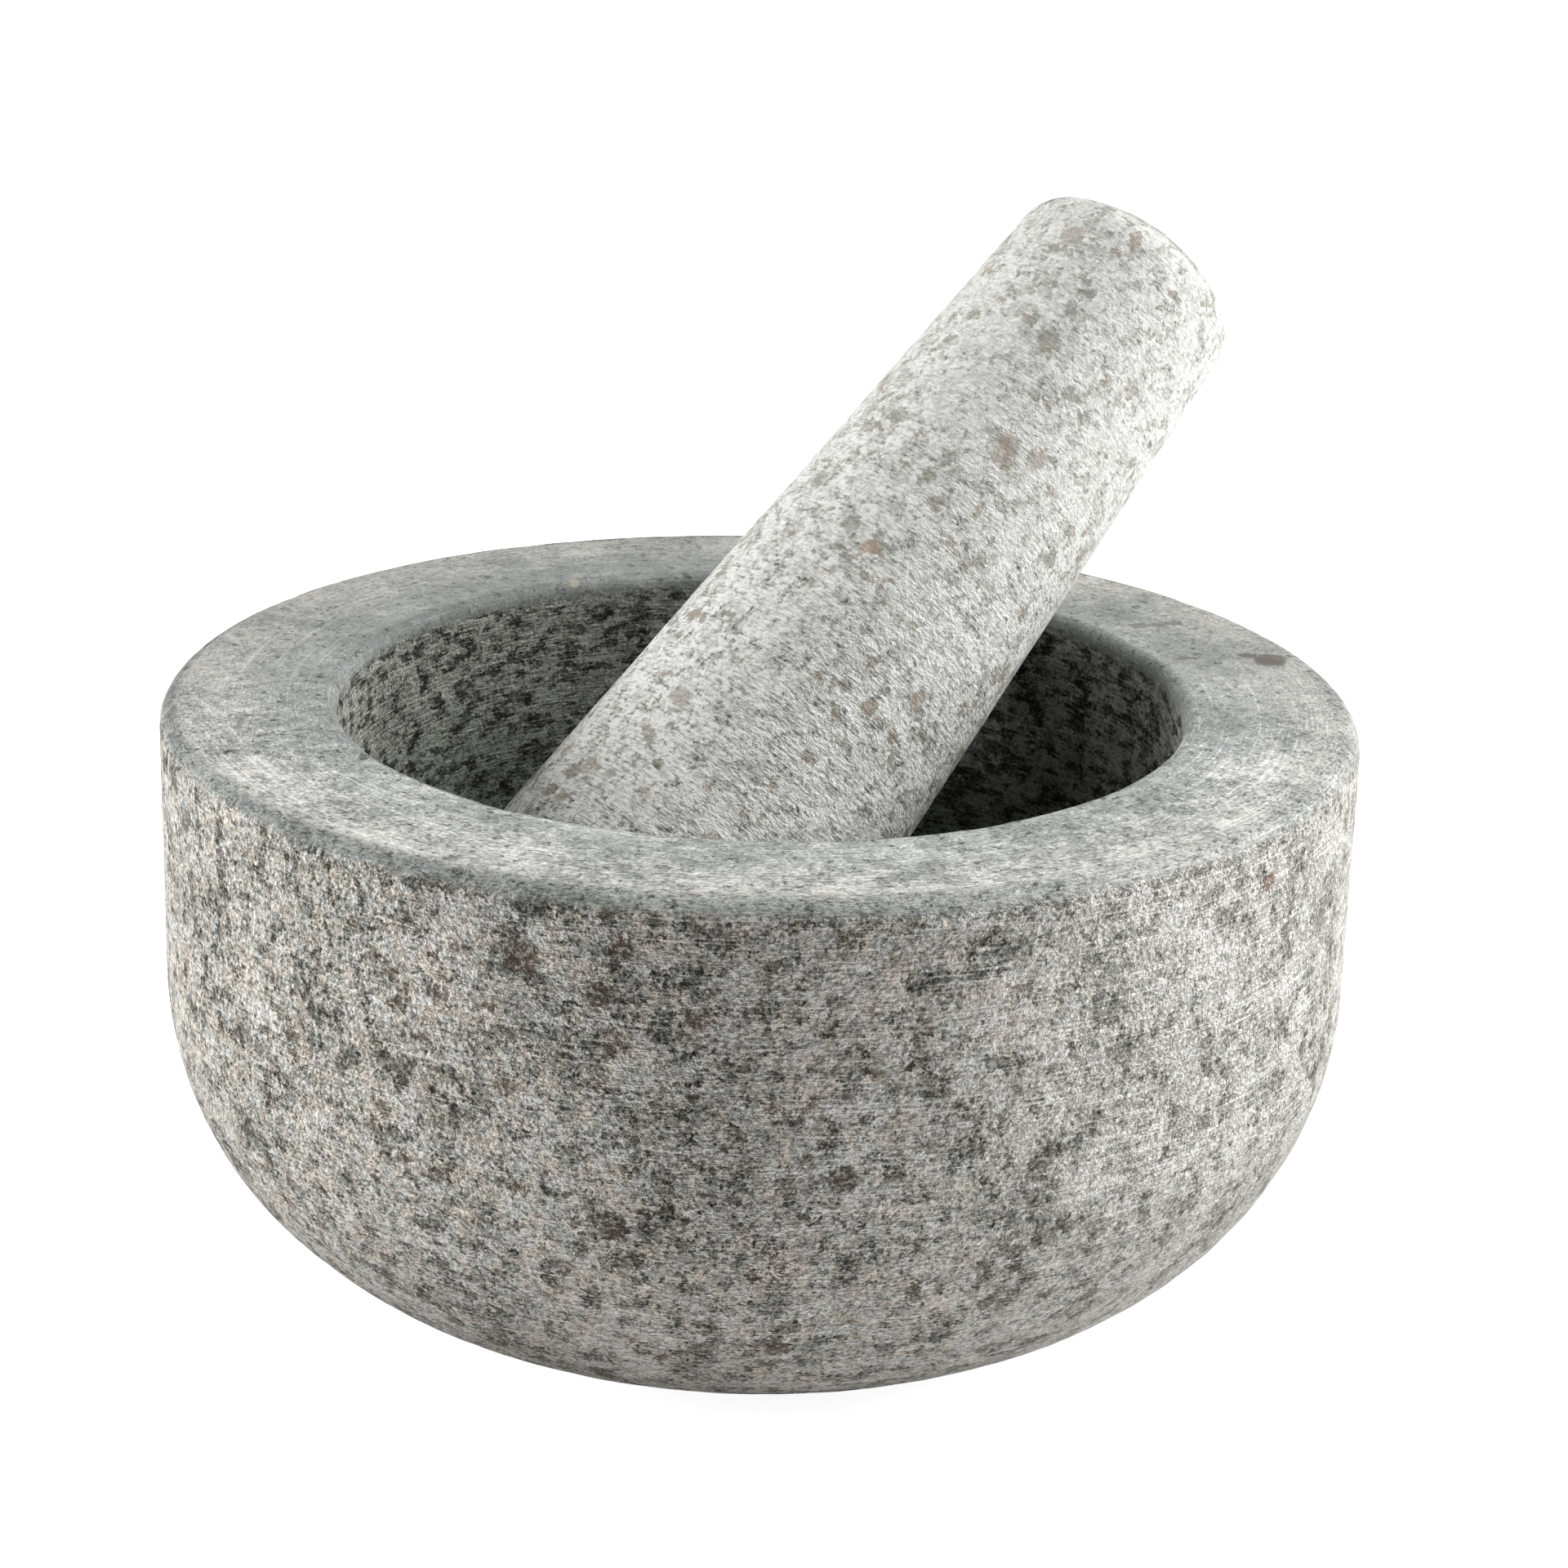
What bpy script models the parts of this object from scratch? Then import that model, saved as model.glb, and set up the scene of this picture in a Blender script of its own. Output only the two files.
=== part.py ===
"""A granite mortar and pestle, each turned from one solid block of stone.

Metres, +Z up. The origin is the centre of the flat base that the mortar stands on.
The pestle leans in the bowl: its ball end sits on the bowl's floor and its side on the mouth's edge.
"""
import math

import bmesh
import bpy

# Mortar
RIM_DIAMETER = 0.180
MORTAR_HEIGHT = 0.090
BASE_DIAMETER = 0.098
LOWER_CORNER_RADIUS = 0.0495
RIM_OUTER_ROUND = 0.0034
RIM_INNER_ROUND = 0.0022
MOUTH_DIAMETER = 0.127
BOWL_DEPTH = 0.070

# Pestle
PESTLE_LENGTH = 0.1669
BALL_END_DIAMETER = 0.0554
GRIP_END_DIAMETER = 0.0382
GRIP_EDGE_ROUND = 0.0059
GRIP_CROWN_RADIUS = 0.030

# How the pestle lies in the mortar
LEAN_ABOVE_LEVEL = math.radians(42.15)
LEAN_HEADING = math.radians(40.1)
LEAN_OFF_CENTRE = 0.0115
REST_CLEARANCE = 0.0003

# Unpolished grey granite, the pestle a little paler than the mortar
MORTAR_COLOUR = (0.36, 0.36, 0.34)
PESTLE_COLOUR = (0.46, 0.46, 0.42)
STONE_ROUGHNESS = 0.85

# How finely round shapes are cut into flats
MORTAR_SIDES = 72
PESTLE_SIDES = 48
BOWL_STEPS = 16
CORNER_STEPS = 12
BALL_STEPS = 10
EDGE_STEPS = 5
CROWN_STEPS = 4
SHARP_ANGLE = math.radians(30)
WELD_DISTANCE = 0.000001

# How finely the pestle's place is worked out
CONTACT_STEPS = 240
HALVINGS = 40

RIM_RADIUS = RIM_DIAMETER / 2
BASE_RADIUS = BASE_DIAMETER / 2
MOUTH_RADIUS = MOUTH_DIAMETER / 2
BALL_RADIUS = BALL_END_DIAMETER / 2
GRIP_RADIUS = GRIP_END_DIAMETER / 2


def clear_scene():
    """Start from an empty scene."""
    for thing in list(bpy.data.objects):
        bpy.data.objects.remove(thing, do_unlink=True)


def stone(name, colour, roughness):
    """A plain dull stone material."""
    material = bpy.data.materials.new(name)
    material.use_nodes = True
    shader = material.node_tree.nodes["Principled BSDF"]
    shader.inputs["Base Color"].default_value = (*colour, 1.0)
    shader.inputs["Roughness"].default_value = roughness
    shader.inputs["Metallic"].default_value = 0.0
    return material


def arc(centre, radii, start, end, steps):
    """Points (radius, height) on part of an ellipse, from one angle to another."""
    turns = [start + (end - start) * step / steps for step in range(steps + 1)]
    return [(centre[0] + radii[0] * math.cos(turn), centre[1] + radii[1] * math.sin(turn)) for turn in turns]


def bowl_outline(steps):
    """The hollow from the middle of its floor up to where the mouth's edge starts to round over."""
    lip_height = MORTAR_HEIGHT - RIM_INNER_ROUND
    floor_drop = BOWL_DEPTH - RIM_INNER_ROUND
    points = arc((0.0, lip_height), (MOUTH_RADIUS, floor_drop), -math.pi / 2, 0.0, steps)
    points[0] = (0.0, MORTAR_HEIGHT - BOWL_DEPTH)
    return points


def mortar_outline():
    """Up the bowl, over the flat rim, down the upright wall and in round the lower corner to the base."""
    inner_centre = (MOUTH_RADIUS + RIM_INNER_ROUND, MORTAR_HEIGHT - RIM_INNER_ROUND)
    inner_round = arc(inner_centre, (RIM_INNER_ROUND, RIM_INNER_ROUND), math.pi, math.pi / 2, EDGE_STEPS)
    outer_centre = (RIM_RADIUS - RIM_OUTER_ROUND, MORTAR_HEIGHT - RIM_OUTER_ROUND)
    outer_round = arc(outer_centre, (RIM_OUTER_ROUND, RIM_OUTER_ROUND), math.pi / 2, 0.0, EDGE_STEPS)
    corner_inset = RIM_RADIUS - LOWER_CORNER_RADIUS
    foot_angle = -math.acos((BASE_RADIUS - corner_inset) / LOWER_CORNER_RADIUS)
    corner_height = -LOWER_CORNER_RADIUS * math.sin(foot_angle)
    corner_radii = (LOWER_CORNER_RADIUS, LOWER_CORNER_RADIUS)
    corner = arc((corner_inset, corner_height), corner_radii, 0.0, foot_angle, CORNER_STEPS)
    corner[-1] = (BASE_RADIUS, 0.0)
    return bowl_outline(BOWL_STEPS) + inner_round[1:] + outer_round + corner + [(0.0, 0.0)]


def pestle_taper():
    """Angle between the pestle's side and its axis, with the side tangent to the ball end."""
    side_length = PESTLE_LENGTH - BALL_RADIUS
    reach = math.hypot(side_length, GRIP_RADIUS)
    return math.asin(BALL_RADIUS / reach) - math.atan2(GRIP_RADIUS, side_length)


def pestle_side_radius(height):
    """Radius of the tapered side at a height above the ball end's centre."""
    taper = pestle_taper()
    return BALL_RADIUS / math.cos(taper) - height * math.tan(taper)


def pestle_outline():
    """Down the crowned grip end, its rounded edge, the side and the ball end, about the ball's centre."""
    taper = pestle_taper()
    slope = math.tan(taper)
    crown_centre = PESTLE_LENGTH - BALL_RADIUS - GRIP_CROWN_RADIUS
    # The edge round touches both the crown from inside and the tapered side
    inset_radius = pestle_side_radius(0.0) - GRIP_EDGE_ROUND / math.cos(taper)
    a = 1.0 + slope * slope
    b = -2.0 * (inset_radius * slope + crown_centre)
    c = inset_radius ** 2 + crown_centre ** 2 - (GRIP_CROWN_RADIUS - GRIP_EDGE_ROUND) ** 2
    edge_height = (-b + math.sqrt(b * b - 4.0 * a * c)) / (2.0 * a)
    edge_radius = inset_radius - slope * edge_height
    crown_angle = math.atan2(edge_height - crown_centre, edge_radius)
    crown_radii = (GRIP_CROWN_RADIUS, GRIP_CROWN_RADIUS)
    crown = arc((0.0, crown_centre), crown_radii, math.pi / 2, crown_angle, CROWN_STEPS)
    crown[0] = (0.0, PESTLE_LENGTH - BALL_RADIUS)
    edge_radii = (GRIP_EDGE_ROUND, GRIP_EDGE_ROUND)
    edge = arc((edge_radius, edge_height), edge_radii, crown_angle, taper, EDGE_STEPS)
    ball = arc((0.0, 0.0), (BALL_RADIUS, BALL_RADIUS), taper, -math.pi / 2, BALL_STEPS)
    ball[-1] = (0.0, -BALL_RADIUS)
    return crown + edge[1:] + ball


def ball_clearance(radius, height):
    """Gap between the bowl and the pestle's ball end, with the ball's centre at this place."""
    distances = [math.hypot(radius - r, height - z) for r, z in bowl_outline(CONTACT_STEPS)]
    return min(distances) - BALL_RADIUS


def ball_seat_height(radius):
    """Lowest place for the ball's centre, this far from the mortar's axis."""
    low = MORTAR_HEIGHT - BOWL_DEPTH
    high = MORTAR_HEIGHT + BALL_RADIUS
    for halving in range(HALVINGS):
        middle = (low + high) / 2
        if ball_clearance(radius, middle) < REST_CLEARANCE:
            low = middle
        else:
            high = middle
    return high


def lean_direction():
    """Unit vector along the pestle, from its ball end to its grip end."""
    level = math.cos(LEAN_ABOVE_LEVEL)
    return (level * math.cos(LEAN_HEADING), level * math.sin(LEAN_HEADING), math.sin(LEAN_ABOVE_LEVEL))


def ball_centre(along):
    """The seated ball's centre, moved this far along the heading that the pestle leans to."""
    x = along * math.cos(LEAN_HEADING) - LEAN_OFF_CENTRE * math.sin(LEAN_HEADING)
    y = along * math.sin(LEAN_HEADING) + LEAN_OFF_CENTRE * math.cos(LEAN_HEADING)
    return (x, y, ball_seat_height(math.hypot(along, LEAN_OFF_CENTRE)))


def mouth_clearance(centre):
    """Gap between the pestle's side and the mouth's rounded edge."""
    direction = lean_direction()
    ring_radius = MOUTH_RADIUS + RIM_INNER_ROUND
    ring_height = MORTAR_HEIGHT - RIM_INNER_ROUND
    taper = pestle_taper()
    gaps = []
    for step in range(CONTACT_STEPS):
        turn = 2.0 * math.pi * step / CONTACT_STEPS
        ring_point = (ring_radius * math.cos(turn), ring_radius * math.sin(turn), ring_height)
        offset = [ring_point[axis] - centre[axis] for axis in range(3)]
        along = sum(offset[axis] * direction[axis] for axis in range(3))
        away = math.sqrt(max(sum(part * part for part in offset) - along * along, 0.0))
        if along > 0.0:
            gaps.append((away - pestle_side_radius(along)) * math.cos(taper) - RIM_INNER_ROUND)
    return min(gaps)


def pestle_seat():
    """Slide the seated ball towards the lean until the pestle's side reaches the mouth's edge."""
    room = MOUTH_RADIUS - BALL_RADIUS - REST_CLEARANCE
    reach = math.sqrt(max(room * room - LEAN_OFF_CENTRE ** 2, 0.0))
    low = -reach
    high = reach
    for halving in range(HALVINGS):
        middle = (low + high) / 2
        if mouth_clearance(ball_centre(middle)) < REST_CLEARANCE:
            high = middle
        else:
            low = middle
    return ball_centre(low)


def turned_piece(name, outline, sides, material):
    """Spin an outline of (radius, height) points round +Z into one closed solid."""
    shape = bmesh.new()
    points = [shape.verts.new((radius, 0.0, height)) for radius, height in outline]
    lines = [shape.edges.new(pair) for pair in zip(points, points[1:])]
    bmesh.ops.spin(
        shape, geom=points + lines, cent=(0.0, 0.0, 0.0), axis=(0.0, 0.0, 1.0),
        angle=2.0 * math.pi, steps=sides, use_merge=True)
    bmesh.ops.remove_doubles(shape, verts=shape.verts, dist=WELD_DISTANCE)
    bmesh.ops.recalc_face_normals(shape, faces=shape.faces)
    mesh = bpy.data.meshes.new(name)
    shape.to_mesh(mesh)
    shape.free()
    mesh.shade_smooth()
    mesh.set_sharp_from_angle(angle=SHARP_ANGLE)
    mesh.materials.append(material)
    piece = bpy.data.objects.new(name, mesh)
    bpy.context.scene.collection.objects.link(piece)
    return piece


def make_mortar():
    """The bowl, standing on its flat base at the origin."""
    granite = stone("mortar_granite", MORTAR_COLOUR, STONE_ROUGHNESS)
    return turned_piece("mortar", mortar_outline(), MORTAR_SIDES, granite)


def make_pestle():
    """The pestle, leaning in the bowl and free to be lifted straight up out of it."""
    lift_axis = bpy.data.objects.new("pestle_lift_axis", None)
    bpy.context.scene.collection.objects.link(lift_axis)
    lift_axis.location = pestle_seat()
    granite = stone("pestle_granite", PESTLE_COLOUR, STONE_ROUGHNESS)
    pestle = turned_piece("pestle", pestle_outline(), PESTLE_SIDES, granite)
    pestle.parent = lift_axis
    pestle.rotation_euler = (0.0, math.pi / 2 - LEAN_ABOVE_LEVEL, LEAN_HEADING)
    return pestle


clear_scene()
make_mortar()
make_pestle()
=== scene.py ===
"""The looks of a granite mortar and pestle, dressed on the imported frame. Metres, +Z up."""
import math
import bpy
from mathutils import Matrix, Vector


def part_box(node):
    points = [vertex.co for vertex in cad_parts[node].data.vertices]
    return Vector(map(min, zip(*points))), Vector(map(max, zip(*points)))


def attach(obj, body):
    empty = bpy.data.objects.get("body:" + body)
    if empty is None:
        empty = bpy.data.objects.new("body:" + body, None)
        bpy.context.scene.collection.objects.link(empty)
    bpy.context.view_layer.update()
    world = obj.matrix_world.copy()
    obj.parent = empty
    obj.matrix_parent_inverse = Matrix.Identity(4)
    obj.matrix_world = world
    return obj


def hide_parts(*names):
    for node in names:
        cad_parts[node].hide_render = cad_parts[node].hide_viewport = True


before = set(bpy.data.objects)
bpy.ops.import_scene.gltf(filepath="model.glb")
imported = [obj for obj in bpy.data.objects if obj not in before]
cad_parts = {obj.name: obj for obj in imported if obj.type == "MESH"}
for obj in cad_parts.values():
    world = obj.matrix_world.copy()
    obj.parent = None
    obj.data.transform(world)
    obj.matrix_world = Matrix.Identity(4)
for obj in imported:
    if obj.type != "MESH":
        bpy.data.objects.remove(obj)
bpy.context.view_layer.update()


# Mortar: a squat bowl turned from one block of grey granite, with a rough upright wall, a round lower
# corner, a broad rim honed flat, and a round-bottomed hollow.
mortar_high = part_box("mortar")[1]
rim_radius = mortar_high.x
mortar_height = mortar_high.z
base_radius = 0.049
lower_corner_round = 0.0495
rim_outer_round = 0.0034
rim_inner_round = 0.0022
mouth_radius = 0.0635
bowl_depth = 0.070

# How finely the mortar is cut round its axis and along its section
mortar_sides = 480
base_steps = 4
corner_steps = 52
wall_steps = 32
outer_edge_steps = 8
rim_steps = 18
inner_edge_steps = 6
hollow_steps = 68


def arc(centre, radii, start, end, steps):
    """Points (radius, height) along part of an ellipse, from one angle to another."""
    turns = [start + (end - start) * step / steps for step in range(steps + 1)]
    across, up = centre
    return [(across + radii[0] * math.cos(turn), up + radii[1] * math.sin(turn)) for turn in turns]


def straight(start, end, steps):
    """Points (radius, height) evenly along a straight line, without its first one."""
    shares = [step / steps for step in range(1, steps + 1)]
    return [tuple(a + (b - a) * share for a, b in zip(start, end)) for share in shares]


def turned_stone(name, outline, sides):
    """Draws half of a section by extruding a point along it, and turns it round +Z into a closed stone."""
    weld_distance = 0.000002
    bpy.ops.object.select_all(action="DESELECT")
    bpy.ops.mesh.primitive_plane_add(size=0.001)
    stone = bpy.context.active_object
    stone.name = name
    stone.data.name = name
    bpy.ops.object.mode_set(mode="EDIT")
    bpy.ops.mesh.merge(type="CENTER")
    bpy.ops.transform.translate(value=(outline[0][0], 0.0, outline[0][1]))
    for (radius, height), (next_radius, next_height) in zip(outline, outline[1:]):
        step = (next_radius - radius, 0.0, next_height - height)
        bpy.ops.mesh.extrude_region_move(TRANSFORM_OT_translate={"value": step})
    bpy.ops.object.mode_set(mode="OBJECT")
    turning = stone.modifiers.new("turning", "SCREW")
    turning.steps = sides
    turning.render_steps = sides
    bpy.ops.object.modifier_apply(modifier="turning")
    bpy.ops.object.mode_set(mode="EDIT")
    bpy.ops.mesh.select_all(action="SELECT")
    bpy.ops.mesh.remove_doubles(threshold=weld_distance)
    bpy.ops.mesh.normals_make_consistent(inside=False)
    bpy.ops.object.mode_set(mode="OBJECT")
    bpy.ops.object.shade_smooth()
    return stone


foot_angle = -math.acos((base_radius - rim_radius + lower_corner_round) / lower_corner_round)
corner_centre = (rim_radius - lower_corner_round, -lower_corner_round * math.sin(foot_angle))
outer_centre = (rim_radius - rim_outer_round, mortar_height - rim_outer_round)
inner_centre = (mouth_radius + rim_inner_round, mortar_height - rim_inner_round)
hollow_centre = (0.0, mortar_height - rim_inner_round)
hollow_radii = (mouth_radius, bowl_depth - rim_inner_round)

corner = arc(corner_centre, (lower_corner_round, lower_corner_round), foot_angle, 0.0, corner_steps)
outer_edge = arc(outer_centre, (rim_outer_round, rim_outer_round), 0.0, math.pi / 2, outer_edge_steps)
inner_edge = arc(inner_centre, (rim_inner_round, rim_inner_round), math.pi / 2, math.pi, inner_edge_steps)
hollow = arc(hollow_centre, hollow_radii, 0.0, -math.pi / 2, hollow_steps)
hollow[-1] = (0.0, mortar_height - bowl_depth)
mortar_outline = [(0.0, 0.0)] + straight((0.0, 0.0), corner[0], base_steps) + corner[1:]
mortar_outline += straight(corner[-1], outer_edge[0], wall_steps) + outer_edge[1:]
mortar_outline += straight(outer_edge[-1], inner_edge[0], rim_steps) + inner_edge[1:] + hollow[1:]
mortar = turned_stone("granite_mortar", mortar_outline, mortar_sides)


def mark_out(stone, name, weigh):
    """Makes a vertex group whose weight comes from each point's distance from +Z and its height."""
    group = stone.vertex_groups.new(name=name)
    for point in stone.data.vertices:
        weight = weigh(math.hypot(point.co.x, point.co.y), point.co.z)
        if weight > 0.0:
            group.add([point.index], min(weight, 1.0), "REPLACE")
    return name


def wear_in(stone, name, size, depth, group="", bare_below=0.0, full_above=1.0):
    """Presses hollows of one size and depth into the stone where the group is, never proud of it."""
    pattern = bpy.data.textures.new(name, "CLOUDS")
    pattern.noise_scale = size
    pattern.noise_depth = 2
    pattern.use_color_ramp = True
    pattern.color_ramp.elements[0].position = bare_below
    pattern.color_ramp.elements[0].color = (1.0, 1.0, 1.0, 1.0)
    pattern.color_ramp.elements[1].position = full_above
    pattern.color_ramp.elements[1].color = (0.0, 0.0, 0.0, 1.0)
    relief = stone.modifiers.new(name, "DISPLACE")
    relief.texture = pattern
    relief.texture_coords = "LOCAL"
    relief.strength = depth
    relief.mid_level = 1.0
    relief.vertex_group = group
    bpy.context.view_layer.objects.active = stone
    bpy.ops.object.modifier_apply(modifier=name)


def press_dents(stone, name, group=""):
    """Presses in the small dents that a tool leaves, alike on both stones."""
    wear_in(stone, name, size=0.0040, depth=0.00012, group=group, bare_below=0.2, full_above=0.85)


def off_the_base(radius, height):
    """Full away from the flat that the mortar stands on."""
    fade = 0.004
    return height / fade


def rough_faces(radius, height):
    """Full on the wall and in the hollow, slight on the honed rim."""
    slight = 0.15
    fade = 0.006
    return min(off_the_base(radius, height), slight + (mortar_height - height) / fade)


def rim_edges(radius, height):
    """Full on the two rounded edges of the rim, fading out over a few millimetres."""
    full_within = 0.001
    fade = 0.0035
    to_outer = math.hypot(radius - rim_radius, height - mortar_height)
    to_inner = math.hypot(radius - mouth_radius, height - mortar_height)
    return 1.0 - (min(to_outer, to_inner) - full_within) / fade


out_of_true_depth = 0.0003
chip_depth = 0.0003
worn_group = mark_out(mortar, "off_the_base", off_the_base)
wear_in(mortar, "out_of_true", size=0.040, depth=out_of_true_depth, group=worn_group)
dented_group = mark_out(mortar, "rough_faces", rough_faces)
press_dents(mortar, "tool_dents", dented_group)
chipped_group = mark_out(mortar, "rim_edges", rim_edges)
wear_in(
    mortar, "edge_chips", size=0.0070, depth=chip_depth, group=chipped_group,
    bare_below=0.50, full_above=0.90)


def add_node(tree, kind, inputs, **settings):
    """Adds a shader node, links the inputs that are other nodes' sockets and sets the rest."""
    made = tree.nodes.new("ShaderNode" + kind)
    for name, value in settings.items():
        setattr(made, name, value)
    for name, value in inputs.items():
        if isinstance(value, bpy.types.NodeSocket):
            tree.links.new(value, made.inputs[name])
        else:
            made.inputs[name].default_value = value
    return made


def work_out(tree, operation, *numbers):
    """One step of arithmetic."""
    return add_node(tree, "Math", dict(enumerate(numbers)), operation=operation).outputs[0]


def product(tree, first, *others):
    """Several numbers multiplied together. With shares, it is full only where all of them are."""
    for other in others:
        first = work_out(tree, "MULTIPLY", first, other)
    return first


def left_over(tree, share):
    """What a share leaves of 1."""
    return work_out(tree, "SUBTRACT", 1.0, share)


def added(tree, start, layers):
    """Adds layers to a number, each a value and how strongly it tells."""
    total = start
    for value, strength in layers:
        total = work_out(tree, "MULTIPLY_ADD", value, strength, total)
    return total


def layered(tree, start, layers):
    """Adds cloudy layers to a number, each a value about 0.5 and how strongly it tells."""
    centred = [(work_out(tree, "SUBTRACT", value, 0.5), strength) for value, strength in layers]
    return added(tree, start, centred)


def rise(tree, value, low, high):
    """From 0 at low to 1 at high, and smooth between. Low may be the larger of the two."""
    inputs = {"Value": value, "From Min": low, "From Max": high}
    return add_node(tree, "MapRange", inputs, interpolation_type="SMOOTHSTEP").outputs["Result"]


def blended(tree, share, below, above):
    """A number that goes from one to the other as the share goes from 0 to 1."""
    inputs = {"Value": share, "To Min": below, "To Max": above}
    return add_node(tree, "MapRange", inputs).outputs["Result"]


def patches(tree, place, size, detail=3.0, roughness=0.6):
    """Cloudy values about 0.5 with spots of one size, in the units of the place that it reads."""
    inputs = {"Vector": place, "Scale": 1.0 / size, "Detail": detail, "Roughness": roughness}
    return add_node(tree, "TexNoise", inputs).outputs["Fac"]


def minerals(tree, share, stops):
    """The colour of the mineral at each share, from the darkest to the palest."""
    ramp = add_node(tree, "ValToRGB", {"Fac": share})
    elements = ramp.color_ramp.elements
    while len(elements) < len(stops):
        elements.new(0.5)
    for element, (position, colour) in zip(elements, stops):
        element.position = position
        element.color = (*colour, 1.0)
    return ramp.outputs["Color"]


def stained(tree, share, colour, stain, way="MIX"):
    """A colour with a stain laid on it, or multiplied into it, as strongly as the share says."""
    mix = add_node(tree, "Mix", {}, data_type="RGBA", blend_type=way)
    for socket, value in zip((mix.inputs[0], mix.inputs[6], mix.inputs[7]), (share, colour, stain)):
        if isinstance(value, bpy.types.NodeSocket):
            tree.links.new(value, socket)
        elif isinstance(value, tuple):
            socket.default_value = (*value, 1.0)
        else:
            socket.default_value = value
    return mix.outputs[2]


def tinted(tree, colour, tints):
    """A colour with tints multiplied into it, each as strongly as its share says."""
    for share, tint in tints:
        colour = stained(tree, share, colour, tint, "MULTIPLY")
    return colour


def stone_place(tree, centre, turn):
    """The place on a stone in millimetres from a centre on its axis, with +Z along its own axis."""
    seen = add_node(tree, "TexCoord", {}).outputs["Object"]
    inputs = {"Vector": seen, "Location": centre, "Rotation": turn, "Scale": (0.001, 0.001, 0.001)}
    return add_node(tree, "Mapping", inputs, vector_type="TEXTURE").outputs["Vector"]


def wound_place(tree, place, girth, flip_above, flip_beyond):
    """The place, pulled in to a ring of one girth where it lies further out, with its radius and height.

    Its third number runs along the section, so on the upper outer part it counts the radius backwards."""
    height = add_node(tree, "SeparateXYZ", {"Vector": place}).outputs["Z"]
    flat = add_node(tree, "VectorMath", {0: place, 1: (1.0, 1.0, 0.0)}, operation="MULTIPLY").outputs[0]
    radius = add_node(tree, "VectorMath", {0: flat}, operation="LENGTH").outputs["Value"]
    shrink = work_out(tree, "DIVIDE", girth, work_out(tree, "MAXIMUM", radius, girth))
    ring = add_node(tree, "VectorMath", {0: flat, "Scale": shrink}, operation="SCALE").outputs[0]
    upper = work_out(tree, "GREATER_THAN", height, flip_above)
    upper_outer = product(tree, upper, work_out(tree, "GREATER_THAN", radius, flip_beyond))
    way = work_out(tree, "MULTIPLY_ADD", upper_outer, -2.0, 1.0)
    along = work_out(tree, "MULTIPLY_ADD", radius, way, height)
    run = add_node(tree, "CombineXYZ", {"Z": along}).outputs[0]
    wound = add_node(tree, "VectorMath", {0: ring, 1: run}, operation="ADD").outputs[0]
    return wound, radius, height


def ragged_place(tree, place, size, reach):
    """The place pushed about by a cloudy pattern, so that what is drawn on it has ragged edges."""
    inputs = {"Vector": place, "Scale": 1.0 / size, "Detail": 2.0}
    push = add_node(tree, "TexNoise", inputs).outputs["Color"]
    push = add_node(tree, "VectorMath", {0: push, 1: (0.5, 0.5, 0.5)}, operation="SUBTRACT").outputs[0]
    inputs = {0: push, 1: (reach, reach, reach), 2: place}
    return add_node(tree, "VectorMath", inputs, operation="MULTIPLY_ADD").outputs[0]


def grain(tree, place, wound, ragged):
    """The three patterns that both granites have: fine specks, mottled spots and a slow drift."""
    speck = patches(tree, wound, size=0.60, detail=2.0)
    mottle = patches(tree, ragged, size=2.4, roughness=0.7)
    drift = patches(tree, place, size=18.0)
    return speck, mottle, drift


def blots(tree, ragged, size, start, full, crowding, pull=0.3):
    """Ragged blots of about one size in millimetres: the higher the start, the fewer there are.

    Crowding is a cloudy value that draws them together where it is high, as strongly as the pull says."""
    cloud = layered(tree, patches(tree, ragged, size, roughness=0.55), [(crowding, pull)])
    return rise(tree, cloud, start, full)


def drawn(tree, wound, share):
    """A wound place drawn out round the axis still further, to a share of its girth."""
    return add_node(tree, "Mapping", {"Vector": wound, "Scale": (share, share, 1.0)}).outputs["Vector"]


def streaks(tree, wound, share, size, detail=2.0, roughness=0.7):
    """Cloudy streaks that run round the axis: the smaller the share, the longer they are."""
    return patches(tree, drawn(tree, wound, share), size, detail, roughness)


def turning_lines(tree, wound, share, size, drift, pull):
    """Sharp lines that run round the axis, more of them where the drift is high."""
    cloud = layered(tree, streaks(tree, wound, share, size, detail=1.0, roughness=0.6), [(drift, pull)])
    return rise(tree, cloud, 0.60, 0.68)


def spotted(tree, colour, ragged, veil, spots):
    """Lays single marks on a stone: each has a place and a radius in millimetres, a colour and a strength.

    The veil says how much of a mark shows at each place."""
    for spot, radius, stain, strength in spots:
        away = add_node(tree, "VectorMath", {0: ragged, 1: spot}, operation="DISTANCE").outputs["Value"]
        share = product(tree, rise(tree, away, radius * 1.2, radius * 0.7), strength, veil)
        colour = stained(tree, share, colour, stain)
    return colour


def give_surface(tree, colour, relief, roughness):
    """Joins a stone's colour, its relief in millimetres and its roughness to its shader."""
    shader = tree.nodes["Principled BSDF"]
    bump = add_node(tree, "Bump", {"Height": relief, "Distance": 0.001, "Strength": 1.0})
    tree.links.new(colour, shader.inputs["Base Color"])
    tree.links.new(bump.outputs["Normal"], shader.inputs["Normal"])
    tree.links.new(roughness, shader.inputs["Roughness"])
    shader.inputs["Specular IOR Level"].default_value = 0.3


# Places on the mortar, in millimetres
mortar_girth = 72.0
rim_height = mortar_height * 1000.0
rim_reach = rim_radius * 1000.0
mouth = mouth_radius * 1000.0


def round_the_axis(heading, radius, height):
    """A place in millimetres, with its heading counted in degrees from the front round to the right."""
    turn = math.radians(heading)
    return (radius * math.sin(turn), -radius * math.cos(turn), height)


def on_the_rim(heading, reach):
    """A place on the mortar's rim, this far from the axis."""
    return round_the_axis(heading, reach, rim_height)


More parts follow.
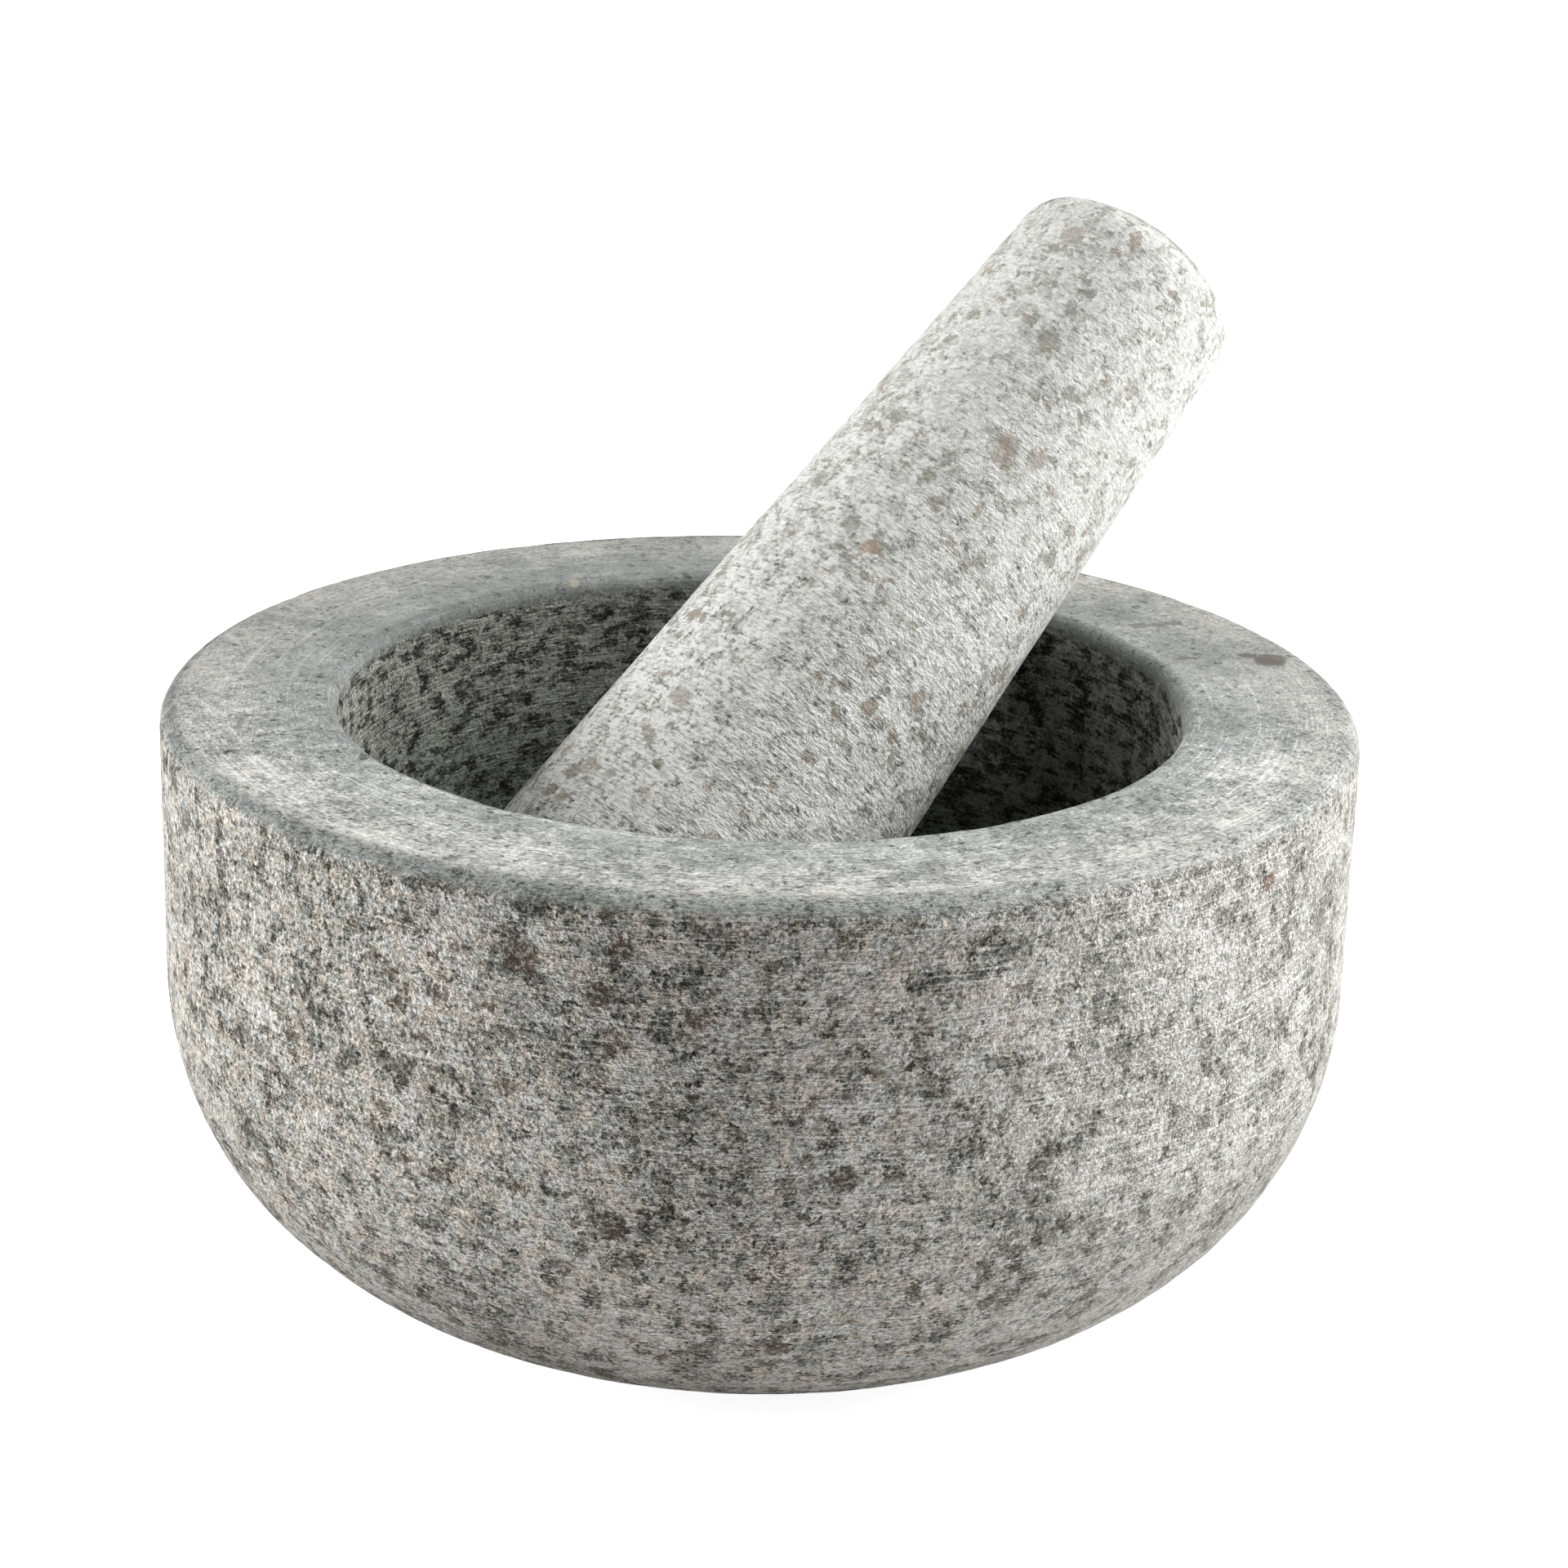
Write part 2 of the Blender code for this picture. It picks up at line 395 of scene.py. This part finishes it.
def on_the_wall(heading, height):
    """A place on the mortar's outside, which is upright above its round lower corner."""
    drop = max(corner_centre[1] - height / 1000.0, 0.0)
    reach = corner_centre[0] + math.sqrt(lower_corner_round ** 2 - drop ** 2)
    return round_the_axis(heading, reach * 1000.0, height)


def marks(place_on, spots, colour, strength):
    """Marks of one colour: each spot has a heading, how far out or up it is, and a radius."""
    return [(place_on(heading, where), radius, colour, strength) for heading, where, radius in spots]


wall_minerals = (
    (0.00, (0.022, 0.023, 0.018)),
    (0.25, (0.112, 0.114, 0.096)),
    (0.50, (0.330, 0.328, 0.298)),
    (0.75, (0.590, 0.583, 0.545)),
    (1.00, (0.880, 0.872, 0.840)))
feldspar_pink = (1.06, 0.98, 0.915)
honed_blue = (0.965, 1.0, 1.065)
eased_blue = (0.62, 0.645, 0.655)
lip_blue = (0.82, 0.835, 0.84)
# Darker colours for the hollow and, deeper down, its floor: partly darker stone, partly painted shade.
hollow_stone_and_shade = (0.70, 0.715, 0.69)
floor_stone_and_shade = (0.38, 0.41, 0.38)
iron_brown = (0.108, 0.074, 0.050)
rim_brown = (0.160, 0.145, 0.135)
rust = (0.24, 0.15, 0.11)
mid_grey = (0.28, 0.28, 0.27)
chalk = (0.66, 0.64, 0.56)
cream = (0.64, 0.57, 0.44)

rim_patch = ((108, 80, 1.5), (106, 83, 2.9), (105, 82, 2.3))
rim_smudges = ((123, 72, 1.6), (122, 75, 1.4), (122, 78, 1.7), (109, 70, 1.4))
rim_marks = marks(on_the_rim, rim_patch, rim_brown, 0.9)
rim_marks += marks(on_the_rim, rim_smudges, rim_brown, 0.7)
wall_stains = ((-20, 80, 3.0), (-11, 83, 1.8), (-13, 76, 1.8), (-12, 43, 2.4), (8, 51, 2.2), (3, 22, 2.0))
stone_marks = marks(on_the_wall, wall_stains, iron_brown, 0.9)
stone_marks += marks(on_the_wall, [(52, 82, 1.6)], rust, 0.9)
stone_marks += marks(on_the_wall, [(64, 70, 2.2)], mid_grey, 0.9)
stone_marks += marks(on_the_wall, [(50, 47, 1.2)], chalk, 0.8)
stone_marks += marks(on_the_rim, [(-151, mouth + 1.0, 1.3)], cream, 0.8)

mortar_stone = bpy.data.materials.new("mortar_stone")
mortar_stone.use_nodes = True
tree = mortar_stone.node_tree
place = stone_place(tree, (0.0, 0.0, 0.0), (0.0, 0.0, 0.0))
wound, radius, height = wound_place(
    tree, place, mortar_girth, flip_above=rim_height / 2, flip_beyond=mouth + 12.0)
ragged = ragged_place(tree, place, size=0.7, reach=2.6)

# Patterns of the mortar's granite
speck, mottle, drift = grain(tree, place, wound, ragged)
long_marks = streaks(tree, wound, share=0.07, size=0.28, detail=1.0, roughness=0.6)
short_marks = streaks(tree, wound, share=0.40, size=0.36)
hollow_streaks = streaks(tree, wound, share=0.10, size=0.45)
scratches = rise(tree, long_marks, 0.56, 0.68)
rings = turning_lines(tree, wound, share=0.012, size=0.50, drift=drift, pull=0.5)
gouges = turning_lines(tree, wound, share=0.03, size=0.40, drift=drift, pull=0.3)
cluster = patches(tree, ragged, size=7.0, detail=2.0)
dark_blots = blots(tree, ragged, size=3.2, start=0.50, full=0.60, crowding=cluster, pull=0.35)
pits = blots(tree, ragged, size=1.4, start=0.55, full=0.63, crowding=cluster, pull=0.45)
hollow_ragged = drawn(tree, ragged_place(tree, wound, size=0.7, reach=2.0), 0.5)
hollow_pits = blots(tree, hollow_ragged, size=1.9, start=0.52, full=0.56, crowding=drift)
grit = blots(tree, ragged, size=0.8, start=0.55, full=0.61, crowding=mottle, pull=0.6)
flecks = blots(tree, ragged, size=1.5, start=0.59, full=0.64, crowding=mottle)
brown_blots = blots(tree, ragged, size=3.4, start=0.61, full=0.68, crowding=drift)
pink_patches = rise(tree, patches(tree, ragged, size=3.0, detail=2.0), 0.46, 0.58)

# Parts of the mortar's surface, with uneven borders: honed rim, eased edge, lip, hollow and wall
below_rim = work_out(tree, "SUBTRACT", rim_height, height)
across = added(tree, work_out(tree, "SUBTRACT", radius, rim_reach), [(below_rim, 2.0)])
uneven_across = layered(tree, across, [(mottle, 5.0), (speck, 3.0), (drift, 4.0)])
uneven_below = layered(tree, below_rim, [(mottle, 3.0), (speck, 2.0)])
uneven_radius = layered(tree, radius, [(mottle, 1.0)])
axes = add_node(tree, "SeparateXYZ", {"Vector": place}).outputs
leftward = rise(tree, axes["X"], -10.0, -60.0)
rightward = rise(tree, axes["X"], 10.0, 60.0)
backward = rise(tree, axes["Y"], -40.0, 30.0)
outward = rise(tree, radius, mouth + 4.0, mouth + 22.0)
outside = rise(tree, radius, mouth + 14.0, mouth + 20.0)
flat_rim = rise(tree, added(tree, uneven_across, [(leftward, -1.5)]), -2.5, -4.5)
eased = product(tree, outside, rise(tree, uneven_across, 4.6, 1.4), left_over(tree, flat_rim))
within = work_out(tree, "LESS_THAN", radius, mouth + 1.0)
inside = product(tree, within, rise(tree, uneven_below, 2.5, 3.3))
lip = work_out(tree, "SUBTRACT", rise(tree, uneven_radius, mouth + 2.5, mouth + 1.7), inside)
honed = product(tree, flat_rim, left_over(tree, inside))
smooth = work_out(tree, "MAXIMUM", honed, eased)
wall = left_over(tree, work_out(tree, "MAXIMUM", smooth, inside))
bright_share = layered(tree, short_marks, [(drift, 0.4), (mottle, 0.3), (outward, 0.16)])
bright_marks = rise(tree, bright_share, 0.50, 0.60)
veil = blended(tree, rise(tree, speck, 0.66, 0.42), 0.45, 1.0)

# How pale the stone is on each part
# Partly painted light: on its right, which faces the strong right lights, the wall gets fainter specks and
# fewer dark blots and grit, so it is paler and plainer there; the rest is the stone's own unevenness.
wall_pale = layered(tree, 0.805, [
    (speck, blended(tree, rightward, 1.5, 0.95)),
    (mottle, 0.9),
    (drift, 0.5)])
wall_pale = added(tree, wall_pale, [
    (dark_blots, blended(tree, rightward, -0.30, -0.23)),
    (pits, -0.18),
    (grit, blended(tree, rightward, -0.34, -0.20)),
    (scratches, 0.16),
    (gouges, 0.30)])
rim_grain = blended(tree, backward, 0.8, 0.4)
rim_pale = layered(tree, 0.51, [(speck, rim_grain), (mottle, rim_grain), (drift, 0.3)])
rim_pale = added(tree, rim_pale, [
    (bright_marks, blended(tree, backward, 0.20, 0.12)),
    (scratches, blended(tree, backward, 0.10, 0.03)),
    (rings, blended(tree, backward, 0.13, 0.10)),
    (flecks, blended(tree, backward, -0.28, -0.22)),
    (product(tree, grit, eased), -0.22)])
hollow_pale = layered(tree, 0.71, [
    (speck, 1.0), (short_marks, 1.0), (hollow_streaks, 1.2), (mottle, 1.4), (drift, 0.6)])
hollow_pale = added(tree, hollow_pale, [(dark_blots, -0.12), (hollow_pits, -0.46), (scratches, 0.38)])
pale = blended(tree, inside, blended(tree, smooth, wall_pale, rim_pale), hollow_pale)

# Colour, relief and roughness of the mortar
# Pink and brown patches fade on the right, and the eased edge's darker tint fades there: partly the stone's
# own colour, partly painted light where the right lights fall full on it.
pink_share = product(tree, wall, pink_patches, blended(tree, rightward, 1.0, 0.4))
brown_share = product(tree, brown_blots, wall, veil, blended(tree, rightward, 0.8, 0.3))
blue_share = product(tree, smooth, left_over(tree, bright_marks))
eased_mottle = layered(tree, blended(tree, leftward, 0.75, 1.1), [(mottle, 1.2)])
eased_share = product(tree, eased, eased_mottle, blended(tree, rightward, 1.0, 0.45))
lip_share = product(tree, lip, layered(tree, 0.85, [(mottle, 1.6)]))
# The hollow is darkened further towards its floor: partly darker stone, partly painted shade.
deep_stone_and_shade = product(tree, inside, rise(tree, below_rim, 6.0, 40.0))
colour = minerals(tree, pale, wall_minerals)
colour = tinted(tree, colour, [(pink_share, feldspar_pink)])
colour = stained(tree, brown_share, colour, iron_brown)
colour = tinted(tree, colour, [
    (blue_share, honed_blue),
    (eased_share, eased_blue),
    (lip_share, lip_blue),
    (inside, hollow_stone_and_shade),
    (deep_stone_and_shade, floor_stone_and_shade)])
colour = spotted(tree, colour, ragged, veil, stone_marks)
colour = spotted(tree, colour, ragged_place(tree, place, size=1.6, reach=3.0), 1.0, rim_marks)
relief = layered(tree, 0.0, [
    (speck, blended(tree, inside, blended(tree, smooth, 1.25, 0.04), 0.40)),
    (long_marks, blended(tree, inside, blended(tree, smooth, 0.30, 0.03), 0.12)),
    (hollow_streaks, blended(tree, inside, 0.0, 0.35)),
    (mottle, blended(tree, smooth, 0.5, 0.15))])
relief = added(tree, relief, [
    (pits, blended(tree, smooth, -0.25, -0.02)),
    (grit, blended(tree, smooth, -0.20, -0.02))])
give_surface(tree, colour, relief, blended(tree, smooth, 0.90, 0.62))

mortar.data.materials.append(mortar_stone)
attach(mortar, "mortar")
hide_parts("mortar")


# Pestle: turned from one piece of a slightly paler granite, with a ball-shaped grinding end, a tapered
# side and a crowned grip end. It leans in the bowl, loose, against the mouth's back right edge.
pestle_length = 0.1669
ball_radius = 0.0277
grip_radius = 0.0191
grip_edge_round = 0.0059
grip_crown_round = 0.030
lean_above_level = math.radians(42.15)
lean_heading = math.radians(40.1)
ball_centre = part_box("pestle")[0] + Vector((ball_radius, ball_radius, ball_radius))

# How finely the pestle is cut round its axis and along its section
pestle_sides = 240
crown_steps = 14
grip_edge_steps = 10
side_steps = 114
ball_steps = 36

# The edge round touches both the crown from inside and the tapered side, which is tangent to the ball
side_length = pestle_length - ball_radius
taper = math.asin(ball_radius / math.hypot(side_length, grip_radius)) - math.atan2(grip_radius, side_length)
slope = math.tan(taper)
crown_centre = side_length - grip_crown_round
inset_radius = ball_radius / math.cos(taper) - grip_edge_round / math.cos(taper)
half_b = inset_radius * slope + crown_centre
rest_c = inset_radius ** 2 + crown_centre ** 2 - (grip_crown_round - grip_edge_round) ** 2
edge_height = (half_b + math.sqrt(half_b ** 2 - (1.0 + slope ** 2) * rest_c)) / (1.0 + slope ** 2)
edge_radius = inset_radius - slope * edge_height
crown_angle = math.atan2(edge_height - crown_centre, edge_radius)

crown_radii = (grip_crown_round, grip_crown_round)
grip_edge_radii = (grip_edge_round, grip_edge_round)
crown = arc((0.0, crown_centre), crown_radii, math.pi / 2, crown_angle, crown_steps)
crown[0] = (0.0, side_length)
grip_edge = arc((edge_radius, edge_height), grip_edge_radii, crown_angle, taper, grip_edge_steps)
ball = arc((0.0, 0.0), (ball_radius, ball_radius), taper, -math.pi / 2, ball_steps)
ball[-1] = (0.0, -ball_radius)
pestle_outline = crown + grip_edge[1:] + straight(grip_edge[-1], ball[0], side_steps) + ball[1:]
pestle = turned_stone("granite_pestle", pestle_outline, pestle_sides)
wear_in(pestle, "pestle_out_of_true", size=0.030, depth=out_of_true_depth)
press_dents(pestle, "pestle_dents")
lean_turn = (0.0, math.pi / 2 - lean_above_level, lean_heading)
lean = Matrix.Rotation(lean_turn[2], 4, "Z") @ Matrix.Rotation(lean_turn[1], 4, "Y")
pestle.matrix_world = Matrix.Translation(ball_centre) @ lean
bpy.ops.object.transform_apply(location=True, rotation=True, scale=True)

# Heights on the pestle's stone are in millimetres, from a point this far up its axis from the ball's centre
pattern_rise = 0.006
pestle_girth = 14.0
worn_heights = (100.0, 10.0)
# Heights and radii of the grip's crown, where painted shade darkens the stone
crown_shade_heights = (120.0, 127.0)
crown_shade_radii = (20.5, 15.0)
pestle_minerals = (
    (0.00, (0.060, 0.062, 0.055)),
    (0.25, (0.220, 0.222, 0.200)),
    (0.50, (0.450, 0.453, 0.422)),
    (0.75, (0.635, 0.637, 0.606)),
    (1.00, (0.820, 0.820, 0.792)))
tan = (0.33, 0.28, 0.225)
olive = (0.28, 0.28, 0.245)
umber = (0.17, 0.150, 0.115)
rusty_tan = (0.42, 0.30, 0.21)


def on_the_pestle(heading, height):
    """A place on the pestle's side or ball end, as it lies on its own axis, with its upper side at -90."""
    reach = ball_radius / math.cos(taper) - slope * (height / 1000.0 + pattern_rise)
    return round_the_axis(heading, reach * 1000.0, height)


tan_spots = (
    (-77, 119, 2.0), (-39, 81, 2.2), (-41, 83, 1.6), (-28, 84, 1.8),
    (-49, 68, 1.4), (-80, 20, 1.8), (-29, 50, 1.0), (-67, 4, 1.1))
olive_spots = ((-100, 63, 1.9), (-71, 58, 1.7), (-82, 4, 1.2))
umber_spots = ((-97, 2, 1.7), (-99, -2, 1.3), (-70, 9, 1.0))
pestle_marks = marks(on_the_pestle, tan_spots, tan, 0.7)
pestle_marks += marks(on_the_pestle, olive_spots, olive, 0.75)
pestle_marks += marks(on_the_pestle, umber_spots, umber, 0.8)
pestle_marks += marks(on_the_pestle, [(-59, 56, 1.5)], rusty_tan, 0.8)

pestle_stone = bpy.data.materials.new("pestle_stone")
pestle_stone.use_nodes = True
tree = pestle_stone.node_tree
pattern_centre = ball_centre + lean.to_3x3() @ Vector((0.0, 0.0, pattern_rise))
place = stone_place(tree, pattern_centre, lean_turn)
wound, radius, height = wound_place(tree, place, pestle_girth, flip_above=60.0, flip_beyond=0.0)
ragged = ragged_place(tree, place, size=0.7, reach=1.8)

# Patterns of the pestle's granite, stronger towards its worn end, and painted shade that darkens the crown
# of its grip end
speck, mottle, drift = grain(tree, place, wound, ragged)
short_marks = streaks(tree, wound, share=0.18, size=0.34)
clumps = patches(tree, ragged, size=5.5, detail=2.0)
grey_blots = blots(tree, ragged, size=2.8, start=0.515, full=0.60, crowding=drift)
grit = blots(tree, ragged, size=0.9, start=0.55, full=0.61, crowding=mottle, pull=0.6)
pits = blots(tree, ragged, size=1.1, start=0.60, full=0.68, crowding=mottle)
tan_blots = blots(tree, ragged, size=3.6, start=0.58, full=0.64, crowding=drift)
warm = rise(tree, patches(tree, place, size=7.0, detail=1.0), 0.46, 0.58)
worn = rise(tree, height, *worn_heights)
# Painted shade: the crown of the grip end is darkened where the right lights fall full on it.
crown_shade = product(tree, rise(tree, height, *crown_shade_heights), rise(tree, radius, *crown_shade_radii))
pale = layered(tree, blended(tree, worn, 0.83, 0.90), [
    (speck, blended(tree, worn, 0.9, 1.4)),
    (short_marks, blended(tree, worn, 0.7, 1.3)),
    (mottle, blended(tree, worn, 0.75, 1.15)),
    (clumps, blended(tree, worn, 0.25, 0.75)),
    (drift, 0.3)])
pale = added(tree, pale, [
    (grey_blots, blended(tree, worn, -0.25, -0.38)),
    (grit, blended(tree, worn, -0.15, -0.28)),
    (pits, blended(tree, worn, -0.22, -0.30)),
    (crown_shade, -0.26)])

# Colour, relief and roughness of the pestle
tan_share = product(tree, tan_blots, blended(tree, speck, 1.3, 0.2))
colour = minerals(tree, pale, pestle_minerals)
colour = stained(tree, tan_share, colour, stained(tree, warm, olive, tan))
colour = spotted(tree, colour, ragged, blended(tree, speck, 1.4, 0.4), pestle_marks)
relief = layered(tree, 0.0, [
    (speck, blended(tree, worn, 0.16, 0.28)),
    (short_marks, blended(tree, worn, 0.05, 0.10)),
    (mottle, 0.35)])
relief = added(tree, relief, [(pits, -0.10)])
give_surface(tree, colour, relief, blended(tree, worn, 0.88, 0.60))

pestle.data.materials.append(pestle_stone)
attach(pestle, "pestle")
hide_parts("pestle")


# Stage: a plain pale floor, large soft lights at both sides, and the camera where the photograph was
# taken from.
floor_size = 12.0
floor_glow = 0.92
backdrop_glow = 0.925


def camera_glow(tree, strength):
    """A glow that only the camera sees, so that it lights nothing."""
    seen_by_camera = add_node(tree, "LightPath", {}).outputs["Is Camera Ray"]
    return product(tree, seen_by_camera, strength)


bpy.ops.object.select_all(action="DESELECT")
bpy.ops.mesh.primitive_plane_add(size=floor_size)
floor = bpy.context.active_object
floor.name = "pale_floor"
floor_paint = bpy.data.materials.new("pale_floor")
floor_paint.use_nodes = True
tree = floor_paint.node_tree
shader = tree.nodes["Principled BSDF"]
shader.inputs["Base Color"].default_value = (0.9, 0.9, 0.9, 1.0)
shader.inputs["Roughness"].default_value = 0.9
shader.inputs["Emission Color"].default_value = (1.0, 1.0, 1.0, 1.0)
tree.links.new(camera_glow(tree, floor_glow), shader.inputs["Emission Strength"])
floor.data.materials.append(floor_paint)

light_distance = 1.2
light_width = 0.6
light_aim = Vector((0.0, 0.0, 0.06))


def softbox(name, heading, height_angle, power):
    """A large soft light aimed at the bowl, at a heading counted from the camera's side to the right."""
    level = light_distance * math.cos(height_angle)
    lift = light_distance * math.sin(height_angle)
    offset = Vector((level * math.sin(heading), -level * math.cos(heading), lift))
    lamp = bpy.data.lights.new(name, "AREA")
    lamp.size = light_width
    lamp.energy = power
    holder = bpy.data.objects.new(name, lamp)
    holder.location = light_aim + offset
    holder.rotation_euler = offset.to_track_quat("Z", "Y").to_euler()
    bpy.context.scene.collection.objects.link(holder)


softbox("left_low_light", math.radians(-94), math.radians(13), 16.2)
softbox("left_high_light", math.radians(-94), math.radians(45), 2.4)
softbox("right_low_light", math.radians(94), math.radians(13), 7.4)
softbox("right_light", math.radians(94), math.radians(35), 10.7)
softbox("right_high_light", math.radians(94), math.radians(62), 7.3)

studio = bpy.data.worlds.new("studio")
studio.use_nodes = True
tree = studio.node_tree
backdrop = tree.nodes["Background"]
backdrop.inputs["Color"].default_value = (1.0, 1.0, 1.0, 1.0)
tree.links.new(camera_glow(tree, backdrop_glow), backdrop.inputs["Strength"])
bpy.context.scene.world = studio
bpy.context.scene.view_settings.view_transform = "Standard"

camera_distance = 0.60929
camera_rise = math.radians(26.046)
camera_yaw = math.radians(0.399)
camera_pitch = math.radians(19.363)
camera_roll = math.radians(1.569)
camera_lens = bpy.data.cameras.new("photograph_camera")
camera_lens.sensor_width = 36.0
camera_lens.lens = 87.515
camera = bpy.data.objects.new("photograph_camera", camera_lens)
turn = Matrix.Rotation(-camera_yaw, 4, "Z") @ Matrix.Rotation(math.pi / 2 - camera_pitch, 4, "X")
turn = turn @ Matrix.Rotation(camera_roll, 4, "Z")
stand = Vector((0.0, -camera_distance * math.cos(camera_rise), camera_distance * math.sin(camera_rise)))
camera.matrix_world = Matrix.Translation(stand) @ turn
bpy.context.scene.collection.objects.link(camera)
bpy.context.scene.camera = camera
